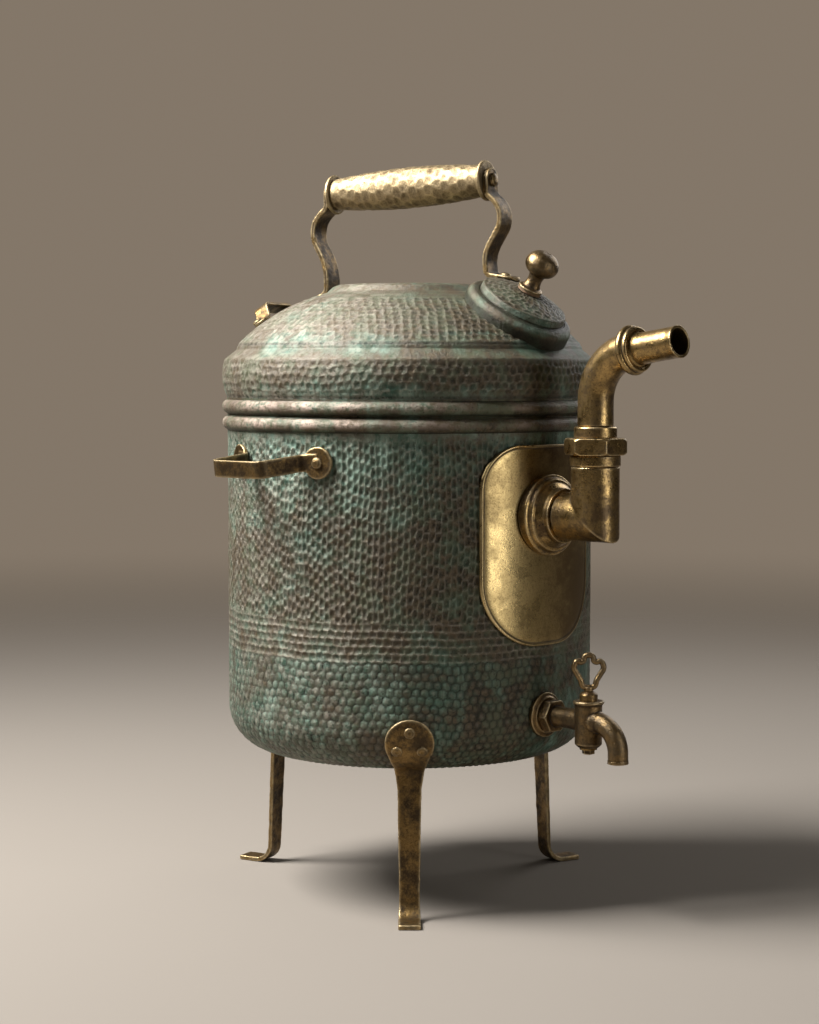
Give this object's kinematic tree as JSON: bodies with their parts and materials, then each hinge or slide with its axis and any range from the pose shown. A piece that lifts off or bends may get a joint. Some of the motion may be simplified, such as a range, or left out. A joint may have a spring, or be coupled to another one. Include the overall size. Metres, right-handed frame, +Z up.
{
  "type": "beverage urn",
  "caption": "Hammered copper drink urn on strap legs, with lift-off cover, turning bail grip, swan neck inlet and a plug cock tap.",
  "frame": {"origin": "centre of the drum's flat underside", "axes": "+Z up, the tap and the swan neck point along -Y"},
  "size_m": [0.3698, 0.4304, 0.5746],
  "materials": {
    "copper_patina": "hammered copper sheet under green and dark brown patina",
    "brass_aged": "aged brass, brown in the hollows, rubbed bright on the edges",
    "brass_plate": "smooth brass plate with a dull polish",
    "brass_hammered": "hammered brass, dull polish",
    "washer_leather": "oiled leather"
  },
  "bodies": {
    "drum": {"drum_shell": "copper_patina", "drum_rim_bead": "copper_patina", "leg_front": "brass_aged", "leg_right": "brass_aged", "leg_rear": "brass_aged", "leg_rivets": "brass_aged", "side_handle_left": "brass_aged", "side_handle_right": "brass_aged", "side_handle_rivets": "brass_aged", "inlet_plate": "brass_plate", "inlet_flange": "brass_aged", "inlet_gasket": "washer_leather", "inlet_backnut": "brass_aged", "elbow": "brass_aged", "elbow_collar": "brass_aged", "union_nut": "brass_aged", "union_washer": "washer_leather", "tap_rosette": "brass_aged", "tap_gasket": "washer_leather", "tap_backnut": "brass_aged", "tap_body": "brass_aged"},
    "neck": {"union_tail": "brass_aged", "neck_ferrule": "brass_aged", "swan_neck": "brass_aged", "neck_ring": "brass_aged", "neck_outlet": "brass_aged"},
    "plug": {"tap_plug": "brass_aged", "tap_key": "brass_aged", "plug_washer": "brass_aged", "plug_nut": "brass_aged"},
    "cover": {"cover_shell": "copper_patina", "cover_bead": "copper_patina", "filler_boss": "copper_patina", "bail_strap_left": "brass_aged", "bail_strap_right": "brass_aged", "bail_foot_rivets": "brass_aged", "bail_rod": "brass_aged", "bail_rod_heads": "brass_aged", "rear_loop": "brass_aged", "rear_loop_rivets": "brass_aged"},
    "grip": {"grip_tube": "brass_hammered", "grip_flange_left": "brass_aged", "grip_flange_right": "brass_aged"},
    "stopper": {"stopper_knob": "brass_aged", "stopper_washer": "washer_leather"}
  },
  "joints": [
    {"name": "cover_lift", "type": "slide", "parent": "drum", "child": "cover", "axis": [0, 0, 1], "range_m": [0, 0.2]},
    {"name": "grip_spin", "type": "hinge", "parent": "cover", "child": "grip", "pos_m": [0, 0, 0.445], "axis": [0.2586, -0.9651, 0.0411], "continuous": true},
    {"name": "stopper_lift", "type": "slide", "parent": "cover", "child": "stopper", "axis": [0.0588, -0.5161, 0.8545], "range_m": [0, 0.04]},
    {"name": "neck_swivel", "type": "hinge", "parent": "drum", "child": "neck", "pos_m": [0, -0.1938, 0.25], "axis": [0, 0, 1], "range_deg": [-90, 90]},
    {"name": "tap_turn", "type": "hinge", "parent": "drum", "child": "plug", "pos_m": [0, -0.1885, 0.04], "axis": [0, 0, 1], "range_deg": [-45, 45]}
  ]
}
